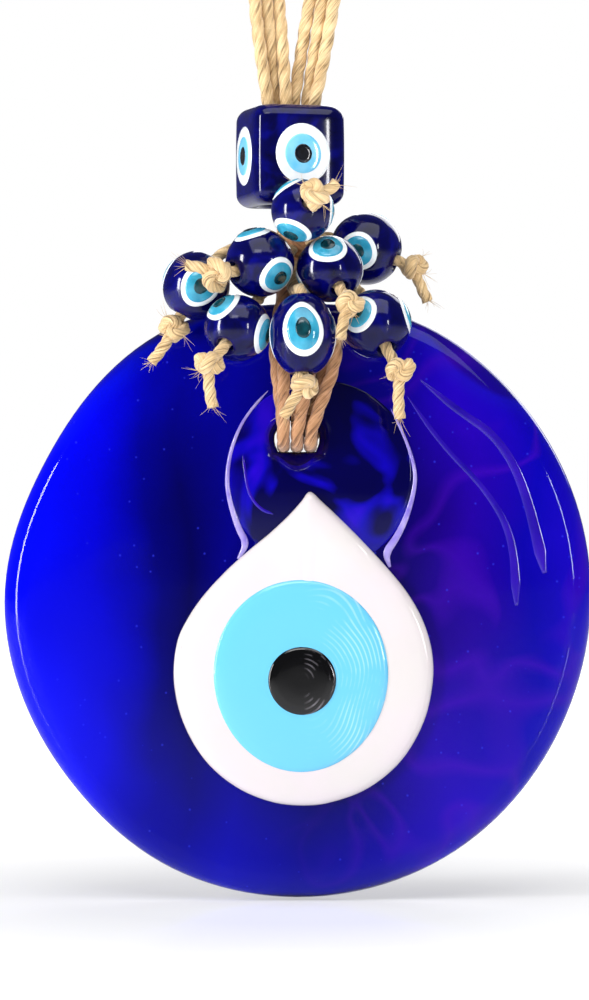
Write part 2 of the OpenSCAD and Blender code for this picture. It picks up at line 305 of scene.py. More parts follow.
# The white drop's outline, from its tip down its right side and up its left, as X and Z.
DROP_OUTLINE = [
    (2.2, -117.2), (4.2, -118.8), (7.4, -121.8), (10.6, -125), (14.9, -129.6), (18.6, -134.1), (21.3, -138.8),
    (22.9, -144), (23.1, -149.4), (21.6, -156.2), (17.8, -162.8), (12.2, -167.5), (6, -169.9), (0.9, -170.5),
    (-4.6, -169.8), (-10.4, -167.3), (-15.6, -162.8), (-19.3, -156.4), (-20.9, -149.4), (-20.4, -143),
    (-18.6, -138.8), (-15.7, -134.6), (-11.8, -130.4), (-8, -127), (-4.6, -124.2), (-1.6, -121.4),
    (0.6, -119),
]
DROP_MIDDLE = Vector((1.1, -147.5))
IRIS_MIDDLE = Vector((0.7, -148.3))
PUPIL_MIDDLE = Vector((0.9, -149.2))


def linear(colour):
    """A colour from sRGB hex, such as #1a2b3c, to linear values."""
    values = [int(colour[i : i + 2], 16) / 255 for i in (1, 3, 5)]
    return tuple(v / 12.92 if v <= 0.04045 else ((v + 0.055) / 1.055) ** 2.4 for v in values)


def colour_setting(name, description, colour):
    """A colour that a user may change."""
    return bpy.props.FloatVectorProperty(
        name=name, description=description, default=linear(colour), subtype="COLOR", size=3, min=0, max=1
    )


def length_setting(name, description, value_mm):
    """A length that a user may change."""
    return bpy.props.FloatProperty(
        name=name, description=description, default=value_mm * MM, unit="LENGTH", min=0
    )


class GlassSettings(bpy.types.PropertyGroup):
    """Colours of the glass."""

    # In the disc, bright cobalt is painted light passing through the glass and dark cobalt its painted shade; in the
    # gather, dark cobalt is a tone of the glass.
    blue: colour_setting("Bright cobalt", "Cobalt glass where light passes through it", "#0101C4")
    navy: colour_setting("Dark cobalt", "Cobalt glass where it is thickest", "#010040")
    violet: colour_setting("Violet", "Violet swirls in the cobalt glass", "#250092")
    bead: colour_setting("Bead cobalt", "The dark glass of the beads", "#020240")
    white: colour_setting("Opal white", "The white drop and the whites of the bead eyes", "#D9D3D2")
    sky: colour_setting("Sky blue", "The iris and the rings of the cube's eyes", "#69C3EC")
    teal: colour_setting("Teal", "The rings of the small beads' eyes", "#3FA6C6")
    pupil: colour_setting("Black", "The pupil", "#020204")
    smoke: colour_setting("Bottle green", "The small beads' pupils", "#04262E")
    lilac: colour_setting("Lilac", "The thread of glass about the gather", "#A79BD6")


class DiscSettings(bpy.types.PropertyGroup):
    """Sizes of the disc."""

    thickness: length_setting("Thickness", "Thickness of the glass disc", 9)
    edge: length_setting("Edge radius", "Radius of the disc's rounded edge", 4.4)
    gather: length_setting("Gather height", "Height of the lump of glass about the hole", 1)
    iris_width: length_setting("Iris width", "Width of the iris", 29.6)
    iris_height: length_setting("Iris height", "Height of the iris, which is an upright oval", 32.6)
    pupil_width: length_setting("Pupil width", "Width of the pupil", 11.6)


class BeadSettings(bpy.types.PropertyGroup):
    """Sizes of the beads' eyes."""

    cube_eye: length_setting("Cube eye", "Width of the white of each eye on the cube", 9.6)
    small_eye: length_setting("Small eye", "Width of the white of each eye on a small bead", 7.2)


class CordSettings(bpy.types.PropertyGroup):
    """Sizes and colours of the jute."""

    width: length_setting("Cord width", "Thickness of the jute cords", 2.1)
    straw: colour_setting("Straw", "Jute of the hanging cords and the knots", "#DDBF8E")
    brown: colour_setting("Brown", "Jute of the cords through the disc's hole", "#BE8C62")


class StageSettings(bpy.types.PropertyGroup):
    """The camera and the floor."""

    view_height: length_setting("View height", "Height that the camera sees at the object", 171)
    view_distance: length_setting("Camera distance", "Distance of the camera in front of the object", 705)
    floor: colour_setting("Floor", "The pale gloss floor", "#F4F4F6")


def node(tree, kind, settings=None, links=None):
    """Adds a shader node of that kind. settings holds its own values or its inputs' values by name or number,
    and stops for a colour ramp's positions and colours; links holds the sockets that feed its inputs."""
    made = tree.nodes.new(f"ShaderNode{kind}")
    for key, value in (settings or {}).items():
        if key == "stops":
            ramp = made.color_ramp
            while len(ramp.elements) < len(value):
                ramp.elements.new(0.5)
            for element, (place, colour) in zip(ramp.elements, value):
                element.position = place
                element.color = (*colour, 1)
        elif isinstance(key, str) and key not in made.inputs:
            setattr(made, key, value)
        elif isinstance(value, tuple) and made.inputs[key].type == "RGBA":
            made.inputs[key].default_value = (*value, 1)
        else:
            made.inputs[key].default_value = value
    for key, socket in (links or {}).items():
        tree.links.new(socket, made.inputs[key])
    return made


def finish_of(name, settings, paint):
    """A material with one Principled shader. settings are the shader's own values, and paint makes the nodes
    that feed it and returns the sockets to link, by input name."""
    material = bpy.data.materials.new(name)
    material.use_nodes = True
    tree = material.node_tree
    tree.nodes.clear()
    shader = node(tree, "BsdfPrincipled", settings)
    node(tree, "OutputMaterial", links={"Surface": shader.outputs["BSDF"]})
    place = node(tree, "TexCoord").outputs["Object"]
    for key, socket in paint(tree, place).items():
        tree.links.new(socket, shader.inputs[key])
    return material


def mixed(tree, share, a, b):
    """A colour between a and b by share. Each of the three is a value or a socket."""
    values = {"Factor": share, "A": a, "B": b}
    mix = node(tree, "Mix", {"data_type": "RGBA"})
    inputs = {"Factor": mix.inputs[0], "A": mix.inputs[6], "B": mix.inputs[7]}
    for key, value in values.items():
        if isinstance(value, bpy.types.NodeSocket):
            tree.links.new(value, inputs[key])
        else:
            inputs[key].default_value = value if key == "Factor" else (*value, 1)
    return mix.outputs[2]


def cast_cobalt(glass):
    """Cobalt soda-lime glass, poured and pressed hot. Its colour holds painted light and shade: it brightens from
    navy at the middle to bright blue towards the thinner rim, as light passing through it, and it is bright blue on
    the left with navy stripes of painted shade across the middle. Violet swirls from folds of the pour lie in it
    towards the right, with a few seed bubbles."""

    def paint(tree, place):
        folds = node(tree, "TexNoise", {"Scale": 1 / (34 * MM), "Detail": 2.0}, {"Vector": place})
        shift = node(
            tree, "VectorMath",
            {"operation": "MULTIPLY_ADD", 1: (22 * MM, 0, 12 * MM), 2: (-11 * MM, 0, 130 * MM)},
            {0: folds.outputs["Color"]},
        )
        warped = node(tree, "VectorMath", {"operation": "ADD"}, {0: place, 1: shift.outputs[0]})
        flat = node(tree, "VectorMath", {"operation": "MULTIPLY", 1: (1, 0, 1)}, {0: warped.outputs[0]})
        out = node(tree, "VectorMath", {"operation": "LENGTH"}, {0: flat.outputs[0]})
        # Painted light: from navy at the middle the glass brightens to bright blue near the rim, as light passing
        # through it, with a darker line painted at the very outline.
        painted_glow_share = node(
            tree, "MapRange", {"From Min": 12 * MM, "From Max": 51 * MM}, {"Value": out.outputs["Value"]}
        )
        deep = node(
            tree, "ValToRGB",
            {"stops": [(0, linear("#01003C")), (0.4, linear("#01005A")), (0.68, linear("#01009A")),
                       (0.9, glass.blue), (0.97, linear("#0512C8")), (1, linear("#06066A"))]},
            {"Fac": painted_glow_share.outputs[0]},
        )
        # Painted light and shade across the disc: bright blue on the left, as light passing through, and navy stripes
        # of painted shade in the middle; violet glass lies towards the right.
        along = node(tree, "SeparateXYZ", links={"Vector": warped.outputs[0]})
        side = node(
            tree, "MapRange", {"From Min": -51 * MM, "From Max": 51 * MM}, {"Value": along.outputs["X"]}
        )
        painted_light_and_violet_stripes = node(
            tree, "ValToRGB",
            {"stops": [(0, linear("#0008E8")), (0.16, glass.blue), (0.25, linear("#000064")),
                       (0.31, glass.navy), (0.39, linear("#020080")), (0.52, glass.navy),
                       (0.66, linear("#0C0058")), (0.78, glass.violet), (0.88, linear("#0A0284")),
                       (1, linear("#2208A0"))]},
            {"Fac": side.outputs[0]},
        )
        # Both patterns of painted light and shade, mixed.
        body = mixed(tree, 0.62, deep.outputs["Color"], painted_light_and_violet_stripes.outputs["Color"])
        swirl = node(
            tree, "TexNoise", {"Scale": 1 / (26 * MM), "Detail": 1.0, "Distortion": 1.2},
            {"Vector": warped.outputs[0]},
        )
        vein = node(
            tree, "ValToRGB",
            {"stops": [(0.44, (0, 0, 0)), (0.5, (1, 1, 1)), (0.56, (0, 0, 0))]},
            {"Fac": swirl.outputs["Fac"]},
        )
        right = node(tree, "MapRange", {"From Min": 0.45, "From Max": 0.8, "To Max": 0.32},
                     {"Value": side.outputs[0]})
        share = node(tree, "Math", {"operation": "MULTIPLY"},
                     {0: vein.outputs["Color"], 1: right.outputs[0]})
        veined = mixed(tree, share.outputs[0], body, linear("#4409A8"))
        seeds = node(tree, "TexVoronoi", {"Scale": 1 / (2.6 * MM)}, {"Vector": place})
        bubble = node(tree, "MapRange", {"From Min": 0.10, "From Max": 0.04, "To Max": 0.35},
                      {"Value": seeds.outputs["Distance"]})
        return {"Base Color": mixed(tree, bubble.outputs[0], veined, linear("#3038E8"))}

    return finish_of(
        "cast cobalt glass",
        {"Roughness": 0.05, "IOR": 1.5, "Specular IOR Level": 0.2}, paint,
    )


def gathered_cobalt(glass):
    """Cobalt glass gathered on a rod and set down about the hole. It is thick, so it is navy, with folds of
    violet blue where it was pressed."""

    def paint(tree, place):
        fold = node(tree, "TexNoise", {"Scale": 1 / (13 * MM), "Detail": 2.0, "Distortion": 1.2},
                    {"Vector": place})
        tone = node(
            tree, "ValToRGB",
            {"stops": [(0.32, linear("#01003C")), (0.5, glass.navy), (0.62, linear("#0C02A0")),
                       (0.75, linear("#2A04C0"))]},
            {"Fac": fold.outputs["Fac"]},
        )
        return {"Base Color": tone.outputs["Color"]}

    return finish_of(
        "gathered cobalt glass",
        {"Roughness": 0.06, "IOR": 1.5, "Specular IOR Level": 0.25}, paint,
    )


def lampwork_cobalt(glass):
    """Dark cobalt glass, wound on a mandrel in a flame. It is nearly black at the middle, with soft streaks left by
    the winding, and has a painted blue glow towards its outline as seen, standing in for light passing the thinner
    glass there."""

    def paint(tree, place):
        streak = node(tree, "TexNoise", {"Scale": 1 / (5 * MM), "Detail": 2.0, "Distortion": 1.5},
                      {"Vector": place})
        tone = node(
            tree, "ValToRGB",
            {"stops": [(0.3, linear("#010128")), (0.5, glass.bead), (0.7, linear("#04056A"))]},
            {"Fac": streak.outputs["Fac"]},
        )
        # Painted light: the colour turns blue where the surface turns away from the view, a glow painted at the bead's
        # outline.
        rim = node(tree, "LayerWeight", {"Blend": 0.35})
        return {"Base Color": mixed(tree, rim.outputs["Facing"], tone.outputs["Color"], linear("#03065E"))}

    return finish_of(
        "lampworked cobalt glass",
        {"Roughness": 0.1, "IOR": 1.5, "Specular IOR Level": 0.35}, paint,
    )


def opal_glass(name, colour, shade, grain_mm, share=1.0):
    """Opal glass, dropped on hot and pressed flush. It is milky, with faint clouds of a second tone."""

    def paint(tree, place):
        cloud = node(tree, "TexNoise", {"Scale": 1 / (grain_mm * MM), "Detail": 3.0}, {"Vector": place})
        soft = node(tree, "MapRange", {"From Min": 0.35, "From Max": 0.7, "To Max": share},
                    {"Value": cloud.outputs["Fac"]})
        return {"Base Color": mixed(tree, soft.outputs[0], colour, shade)}

    return finish_of(
        name, {"Roughness": 0.1, "IOR": 1.5, "Coat Weight": 0.3, "Coat Roughness": 0.04}, paint
    )


def stirred_glass(name, colour, streak, middle, radius_mm, strength):
    """Glass stirred with a rod while soft, which leaves fine curved streaks on its right side."""

    def paint(tree, place):
        centre = node(tree, "VectorMath",
                      {"operation": "SUBTRACT", 1: (middle[0] * MM, 0, middle[1] * MM)}, {0: place})
        flat = node(tree, "VectorMath", {"operation": "MULTIPLY", 1: (1, 0, 0.8)}, {0: centre.outputs[0]})
        wisp = node(tree, "TexNoise", {"Scale": 1 / (16 * MM), "Detail": 1.0}, {"Vector": place})
        out = node(tree, "VectorMath", {"operation": "LENGTH"}, {0: flat.outputs[0]})
        bent = node(tree, "Math", {"operation": "MULTIPLY_ADD", 1: 6 * MM},
                    {0: wisp.outputs["Fac"], 2: out.outputs["Value"]})
        lines = node(tree, "Math", {"operation": "MULTIPLY", 1: math.tau / (0.8 * MM)},
                     {0: bent.outputs[0]})
        wave = node(tree, "Math", {"operation": "SINE"}, {0: lines.outputs[0]})
        crest = node(tree, "MapRange", {"From Min": 0.2, "From Max": 1.0}, {"Value": wave.outputs[0]})
        patch = node(tree, "TexNoise", {"Scale": 1 / (7 * MM), "Detail": 4.0}, {"Vector": place})
        broken = node(tree, "MapRange", {"From Min": 0.44, "From Max": 0.6},
                      {"Value": patch.outputs["Fac"]})
        across = node(tree, "SeparateXYZ", links={"Vector": centre.outputs[0]})
        right = node(tree, "MapRange", {"From Min": 0.05 * radius_mm * MM, "From Max": 0.6 * radius_mm * MM,
                                                  "To Max": strength}, {"Value": across.outputs["X"]})
        both = node(tree, "Math", {"operation": "MULTIPLY"}, {0: crest.outputs[0], 1: broken.outputs[0]})
        share = node(tree, "Math", {"operation": "MULTIPLY"}, {0: both.outputs[0], 1: right.outputs[0]})
        return {"Base Color": mixed(tree, share.outputs[0], colour, streak)}

    return finish_of(
        name, {"Roughness": 0.08, "IOR": 1.5, "Coat Weight": 0.4, "Coat Roughness": 0.03}, paint
    )


def spun_jute(name, colour, shade, seed_mm):
    """Jute yarn, spun from coarse bast fibres and lightly waxed. It is matt, with darker fibres that run with
    the twist and a soft sheen. The fibres are drawn four times their real 0.06 mm so that they show."""

    def paint(tree, place):
        twist = node(tree, "Attribute", {"attribute_name": FIBRES})
        tone = node(tree, "TexNoise", {"Scale": 1 / (seed_mm * MM), "Detail": 4.0}, {"Vector": place})
        fibre = node(tree, "TexNoise", {"Scale": 1 / (0.34 * MM), "Detail": 3.0, "Distortion": 0.3},
                     {"Vector": twist.outputs["Vector"]})
        patch = node(tree, "MapRange", {"From Min": 0.35, "From Max": 0.65, "To Max": 0.55},
                     {"Value": tone.outputs["Fac"]})
        body = mixed(tree, patch.outputs[0], colour, shade)
        dark = node(tree, "MapRange", {"From Min": 0.53, "From Max": 0.66, "To Max": 0.8},
                    {"Value": fibre.outputs["Fac"]})
        pale = node(tree, "MapRange", {"From Min": 0.46, "From Max": 0.36, "To Max": 0.6},
                    {"Value": fibre.outputs["Fac"]})
        bump = node(tree, "Bump", {"Strength": 0.8, "Distance": 0.3 * MM},
                    {"Height": fibre.outputs["Fac"]})
        dirt = tuple(0.35 * c for c in shade)
        hair = tuple(min(1, 1.25 * c + 0.08) for c in colour)
        lit = mixed(tree, pale.outputs[0], body, hair)
        return {"Base Color": mixed(tree, dark.outputs[0], lit, dirt), "Normal": bump.outputs["Normal"]}

    return finish_of(name, {"Roughness": 0.82, "Sheen Weight": 0.3, "Sheen Roughness": 0.5}, paint)


FINISHES = {}


def finish(name):
    """The finish of that name, made the first time it is asked for."""
    glass = bpy.context.scene.ornament_glass
    cords = bpy.context.scene.ornament_cords
    makers = {
        "cast cobalt": lambda: cast_cobalt(glass),
        "gather cobalt": lambda: gathered_cobalt(glass),
        "bead cobalt": lambda: lampwork_cobalt(glass),
        "white": lambda: opal_glass("opal white glass", tuple(glass.white), linear("#DFD2DA"), 9, 0.6),
        "bead white": lambda: opal_glass(
            "opal white bead glass", linear("#F2F4F6"), linear("#CFE2EA"), 2, 0.5),
        "sky": lambda: stirred_glass(
            "sky blue glass", tuple(glass.sky), linear("#C9EBFA"), IRIS_MIDDLE, 15, 0.45),
        "cube sky": lambda: opal_glass("sky blue bead glass", tuple(glass.sky), linear("#9AD8F0"), 2, 0.6),
        "teal": lambda: opal_glass("teal bead glass", tuple(glass.teal), linear("#2386A8"), 2.5),
        "black": lambda: stirred_glass(
            "black glass", tuple(glass.pupil), linear("#A8A3AC"), PUPIL_MIDDLE, 5, 0.9),
        "bead black": lambda: opal_glass("black bead glass", linear("#06080C"), linear("#101420"), 2),
        "smoke": lambda: opal_glass("bottle green bead glass", tuple(glass.smoke), linear("#0B4650"), 1.5),
        "lilac": lambda: opal_glass("lilac glass thread", tuple(glass.lilac), linear("#6A55C4"), 4),
        "violet": lambda: opal_glass("violet glass thread", linear("#2A0AA0"), linear("#18028C"), 6),
        "straw jute": lambda: spun_jute("straw jute", tuple(cords.straw), linear("#B48C56"), 3),
        "brown jute": lambda: spun_jute("brown jute", tuple(cords.brown), linear("#93603A"), 3),
    }
    if name not in FINISHES:
        FINISHES[name] = makers[name]()
    return FINISHES[name]


def piece(name, verts, faces, finish_name, body=None, slot=None, stands_for=(), fibres=()):
    """A smooth mesh piece in the row frame. It rides on body, takes its finish from slot and stands for CAD
    nodes. A piece that is to be blended has no body yet. fibres holds a place in the yarn for each vertex."""
    mesh = bpy.data.meshes.new(name)
    mesh.from_pydata([tuple(v) for v in verts], [], faces)
    tidy = bmesh.new()
    tidy.from_mesh(mesh)
    bmesh.ops.recalc_face_normals(tidy, faces=tidy.faces)
    tidy.to_mesh(mesh)
    tidy.free()
    mesh.shade_smooth()
    if fibres:
        lines = mesh.attributes.new(FIBRES, "FLOAT_VECTOR", "POINT")
        lines.data.foreach_set("vector", [c for place in fibres for c in place])
    made = bpy.data.objects.new(name, mesh)
    bpy.context.scene.collection.objects.link(made)
    mesh.materials.append(finish(finish_name))
    if body:
        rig.ride(made, body)
    if slot:
        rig.slot(made, slot)
    if stands_for:
        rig.replaces(made, *stands_for)
    return made


def rings_mesh(rings, closed=False):
    """Vertices and faces that join equal rings of points. The ends are capped, or the last ring joins the
    first if closed."""
    count = len(rings[0])
    verts = [p for ring in rings for p in ring]
    faces = []
    for i in range(len(rings) if closed else len(rings) - 1):
        here = i * count
        there = (i + 1) % len(rings) * count
        for k in range(count):
            after = (k + 1) % count
            faces.append((here + k, here + after, there + after, there + k))
    if not closed:
        for ring, start in ((rings[0], 0), (rings[-1], len(verts) - count)):
            verts.append(sum((Vector(p) for p in ring), Vector()) / count)
            faces += [(start + k, start + (k + 1) % count, len(verts) - 1) for k in range(count)]
    return verts, faces


def joined(parts):
    """Several (verts, faces) as one."""
    verts = []
    faces = []
    for more_verts, more_faces in parts:
        faces += [tuple(i + len(verts) for i in face) for face in more_faces]
        verts += list(more_verts)
    return verts, faces


def eased(points, rounds=3):
    """The route through points, in millimetres, with its corners cut to curves, in metres."""
    line = [Vector(p) for p in points]
    for _ in range(rounds):
        cut = [line[0]]
        for a, b in zip(line, line[1:]):
            cut += [a.lerp(b, 0.25), a.lerp(b, 0.75)]
        line = [*cut, line[-1]]
    return [p * MM for p in line]


def spaced(line, step):
    """The line's points, evenly spaced, with each one's distance along it."""
    lengths = [0]
    for a, b in zip(line, line[1:]):
        lengths.append(lengths[-1] + (b - a).length)
    count = max(4, round(lengths[-1] / step))
    points = []
    k = 0
    for i in range(count + 1):
        at = lengths[-1] * i / count
        while k < len(line) - 2 and lengths[k + 1] < at:
            k += 1
        run = lengths[k + 1] - lengths[k]
        points.append((line[k].lerp(line[k + 1], (at - lengths[k]) / run if run else 0), at))
    return points


def swept(points, outline):
    """Rings of outline(distance, total) offsets carried along points without twisting."""
    rings = []
    normal = None
    for i, (p, at) in enumerate(points):
        ahead = (points[min(i + 1, len(points) - 1)][0] - points[max(i - 1, 0)][0]).normalized()
        if normal is None:
            normal = ahead.orthogonal().normalized()
        normal = (normal - ahead * normal.dot(ahead)).normalized()
        across = ahead.cross(normal)
        rings.append([p + normal * u + across * v for u, v in outline(at, points[-1][1])])
    return rings_mesh(rings)


def plied(width, turn_mm=CORD_TURN, plies=3, sides=18):
    """The outline of a twisted cord: as many lobes as plies, which turn once in turn_mm."""

    def outline(at, total):
        ring = []
        turned = math.tau * at / (turn_mm * MM)
        for k in range(sides):
            angle = math.tau * k / sides
            lobe = abs(math.cos(plies * (angle - turned) / 2))
            radius = width / 2 * (0.84 + 0.24 * lobe)
            ring.append((radius * math.cos(angle), radius * math.sin(angle)))
        return ring

    return outline


def twisted(line, width, turn_mm=CORD_TURN, plies=3, sides=18, step_mm=0.36):
    """A twisted cord's vertices, faces and fibres along the line, and the evenly spaced points it follows."""
    points = spaced(line, step_mm * MM)
    verts, faces = swept(points, plied(width, turn_mm, plies, sides))
    fibres = []
    for _, at in points:
        for k in range(sides):
            angle = math.tau * (k / sides - at / (turn_mm * MM))
            fibres.append((width / 2 * math.cos(angle), width / 2 * math.sin(angle), FIBRE_STRETCH * at))
    fibres += [(0, 0, FIBRE_STRETCH * at) for at in (points[0][1], points[-1][1])]
    return verts, faces, fibres, points


def cord_mesh(route, width, rounds=3, turn_mm=CORD_TURN):
    """A twisted cord along the route: its vertices, faces and fibres, and the line it follows."""
    verts, faces, fibres, points = twisted(eased(route, rounds), width, turn_mm)
    return verts, faces, fibres, [p for p, _ in points], points[-1][1]


def hairs(draw, roots, count, reach_mm, width_mm):
    """Fine fibres that stand out from roots, each a point and the way out there."""
    parts = []
    for _ in range(count):
        root, way = roots[draw.randrange(len(roots))]
        heading = (way + Vector([draw.uniform(-0.7, 0.7) for _ in range(3)])).normalized()
        bend = Vector([draw.uniform(-0.6, 0.6) for _ in range(3)])
        length = reach_mm * MM * draw.uniform(0.45, 1.0)
        line = [root + heading * length * t + bend * length * t * t for t in (0, 0.25, 0.5, 0.75, 1)]
        thick = width_mm * MM / 2 * draw.uniform(0.6, 1.1)

        def outline(at, total, thick=thick):
            radius = thick * (1 - 0.75 * at / total)
            return [(radius * math.cos(a), radius * math.sin(a)) for a in (0, math.tau / 3, 2 * math.tau / 3)]

        parts.append(swept(spaced(line, length / 5), outline))
    return joined(parts)


def around(count):
    """Evenly spaced angles of a full turn."""
    return [math.tau * k / count for k in range(count)]


def through_ring(points, count):
    """A smooth closed line through points, as count points."""
    size = len(points)
    line = []
    for i in range(count):
        at = i * size / count
        k = int(at)
        t = at - k
        a, b, c, d = (Vector(points[(k + j) % size]) for j in (-1, 0, 1, 2))
        line.append(b + 0.5 * t * (c - a + t * (2 * a - 5 * b + 4 * c - d + t * (3 * (b - c) + d - a))))
    return line


def disc_radius(angle):
    """Radius of the disc's outline, in millimetres, eased between OUTLINE's angles."""
    degrees = math.degrees(angle) % 360
    size = len(OUTLINE)
    after = next((k for k in range(size) if OUTLINE[k][0] > degrees), size)
    spots = [
        (OUTLINE[k % size][0] + 360 * (k // size), OUTLINE[k % size][1]) for k in range(after - 2, after + 2)
    ]
    (before, first), (low, start), (high, end), (beyond, last) = spots
    t = (degrees - low) / (high - low)
    rise = (end - first) / (high - before) * (high - low)
    fall = (last - start) / (beyond - low) * (high - low)
    return (
        (2 * t**3 - 3 * t**2 + 1) * start + (t**3 - 2 * t**2 + t) * rise
        + (3 * t**2 - 2 * t**3) * end + (t**3 - t**2) * fall
    )


def hole_radius(angle):
    """Radius of the hole, in millimetres. The soft glass closes on the cords at the sides and below."""
    side = HOLE_RADIUS - HOLE_PINCH * max(0, min(1, 0.6 - 1.5 * math.sin(angle)))
    return min(side, HOLE_LIP / max(0.01, -math.sin(angle)))


def scoop(angle):
    """How far the hole's mouth is rounded back, in millimetres. It is scooped out below, where cords rub."""
    return 1.1 + 1.5 * max(0, -math.sin(angle)) ** 2


def disc_front(x, z):
    """Y of the disc's front at X and Z, all in millimetres. It is slightly crowned and wavy."""
    disc = bpy.context.scene.ornament_disc
    out = math.hypot(x, z - DISC_Z) / 50
    wave = noise.noise(Vector((x / 19, 0.3, z / 19))) * 0.14
    return -disc.thickness / MM / 2 - 0.35 * max(0, 1 - out * out) + wave * max(0, 1 - out**4)


def gather_front(x, z):
    """Y of the front where the gather about the hole stands on the disc."""
    disc = bpy.context.scene.ornament_disc
    out = math.hypot(x - GATHER_MIDDLE[0], z - GATHER_MIDDLE[1]) / GATHER_RADIUS
    return disc_front(x, z) - disc.gather / MM * max(0, 1 - out * out) ** 0.8


class OrnamentOperator(bpy.types.Operator):
    """Shared by the ornament's operators."""

    bl_options = {"REGISTER", "UNDO"}


class ORNAMENT_OT_stage(OrnamentOperator):
    """Sets the camera, the pale floor and the soft studio light"""

    bl_idname = "ornament.stage"
    bl_label = "Stage"

    def execute(self, context):
        stage = context.scene.ornament_stage
        low, high = (Vector(c) for c in CAD_BOX)
        data = bpy.data.cameras.new("camera")
        data.sensor_fit = "VERTICAL"
        data.sensor_height = 36
        data.lens = data.sensor_height * stage.view_distance / stage.view_height
        camera = bpy.data.objects.new("camera", data)
        context.scene.collection.objects.link(camera)
        camera.location = (CAMERA_SIDE, -stage.view_distance, low.z + CAMERA_RISE)
        camera.rotation_euler = (math.pi / 2, 0, 0)
        context.scene.camera = camera

        sheet = bmesh.new()
        bmesh.ops.create_grid(sheet, x_segments=8, y_segments=8, size=FLOOR_REACH)
        floor_mesh = bpy.data.meshes.new("floor")
        sheet.to_mesh(floor_mesh)
        sheet.free()
        floor = bpy.data.objects.new("floor", floor_mesh)
        context.scene.collection.objects.link(floor)
        floor.location.z = low.z - FLOOR_GAP
        floor_mesh.materials.append(self.floor_finish(tuple(stage.floor)))
        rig.stage(floor)

        for name, place, size, power in (
            ("left window", (-0.62, -0.30, -0.06), (0.10, 0.46), 5.0),
            ("right window", (0.50, -0.62, -0.02), (0.035, 0.20), 1.0),
            ("top softbox", (0.05, -0.35, 0.55), (0.9, 0.7), 4.5),
            ("front fill", (-0.15, -1.05, 0.75), (0.5, 0.25), 1.6),
            ("back softbox", (0.25, 0.75, 0.30), (0.7, 0.5), 4.0),
        ):
            self.softbox(name, Vector(place), size, power)
        self.surroundings(context)
        return {"FINISHED"}

    def softbox(self, name, place, size, power):
        data = bpy.data.lights.new(name, "AREA")
        data.shape = "RECTANGLE"
        data.size, data.size_y = size
        data.energy = power
        light = bpy.data.objects.new(name, data)
        bpy.context.scene.collection.objects.link(light)
        light.location = place
        light.rotation_euler = (Vector((0, 0, DISC_Z * MM)) - place).to_track_quat("-Z", "Y").to_euler()

    def surroundings(self, context):
        """A studio that is white where the camera looks at it and dim where it lights the object, which a
        real one can't be, so that the glass stays deep."""
        world = bpy.data.worlds.new("studio")
        context.scene.world = world
        world.use_nodes = True
        tree = world.node_tree
        tree.nodes.clear()
        path = node(tree, "LightPath")
        seen = node(tree, "Background", {"Color": (1, 1, 1), "Strength": 1.0})
        lit = node(tree, "Background", {"Color": (1, 1, 1), "Strength": WORLD_LIGHT})
        either = node(tree, "MixShader", links={
            0: path.outputs["Is Camera Ray"], 1: lit.outputs[0], 2: seen.outputs[0]})
        node(tree, "OutputWorld", links={"Surface": either.outputs[0]})
        context.scene.view_settings.view_transform = "Standard"

    def floor_finish(self, colour):
        """Cast white acrylic sheet, polished, whose glow stands in for light from below. It mirrors what stands on it
        faintly and keeps a soft shadow, partly cast by the lamps and partly painted, as its glow is dimmed near the
        object and grows with distance. Mirror reflections are shown only a little of the glow, which a real floor
        can't do, so that it doesn't veil the glass."""

        def paint(tree, place):
            haze = node(tree, "TexNoise", {"Scale": 1 / (60 * MM), "Detail": 1.0}, {"Vector": place})
            rough = node(tree, "MapRange", {"To Min": 0.10, "To Max": 0.16},
                         {"Value": haze.outputs["Fac"]})
            # Painted shadow: the floor's glow is dimmed near the object, least within 40 mm and full from 260 mm out.
            out = node(tree, "VectorMath", {"operation": "LENGTH"}, {0: place})
            glow = node(tree, "MapRange",
                        {"From Min": 40 * MM, "From Max": 260 * MM, "To Min": 0.4, "To Max": 1.1},
                        {"Value": out.outputs["Value"]})
            path = node(tree, "LightPath")
            flagged = node(tree, "MapRange", {"To Min": 1.0, "To Max": 0.12},
                           {"Value": path.outputs["Is Glossy Ray"]})
            shown = node(tree, "Math", {"operation": "MULTIPLY"},
                         {0: glow.outputs[0], 1: flagged.outputs[0]})
            return {"Roughness": rough.outputs[0], "Emission Strength": shown.outputs[0]}

        return finish_of(
            "polished white acrylic",
            {"Base Color": colour, "Specular IOR Level": 0.16, "Emission Color": (1, 1, 1)}, paint,
        )


class ORNAMENT_OT_hanging_cords(OrnamentOperator):
    """Makes the three jute cords of the hanging loop"""

    bl_idname = "ornament.hanging_cords"
    bl_label = "Hanging cords"

    def execute(self, context):
        width = context.scene.ornament_cords.width
        for name, route in (("front", HANG_FRONT), ("middle", HANG_MIDDLE), ("back", HANG_BACK)):
            up, down = route[2], route[-3]
            loop = [(*up[:2], SPLIT_Z), *route[3:-3], (*down[:2], SPLIT_Z)]
            verts, faces, fibres, line, length = cord_mesh(loop, width)
            ends = []
            for side, leg in (("left", route[:3]), ("right", route[:-4:-1])):
                foot = [(*leg[0][:2], CORE_TOP - 2), *leg[1:], (*leg[2][:2], SPLIT_Z)]
                foot_verts, foot_faces, foot_fibres, _, _ = cord_mesh(foot, width)
                ends.append(piece(f"{name}_cord_{side}_foot", foot_verts, foot_faces, "straw jute", "cords",
                                  "jute", (), foot_fibres))
            cord = piece(f"{name}_cord", verts, faces, "straw jute", None, "jute", [f"{name}_hanging_cord"],
                         fibres)
            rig.blend(cord, "cords", "cube_bead",
                     start=(0, 0, LOOP_BLEND[0] * MM), end=(0, 0, LOOP_BLEND[1] * MM))
            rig.cord(cord, exit=line[0], length=length, diameter=width, far_end="object", stiffness="limp",
                    lay="hanging", path=line, with_pieces=ends)
        return {"FINISHED"}


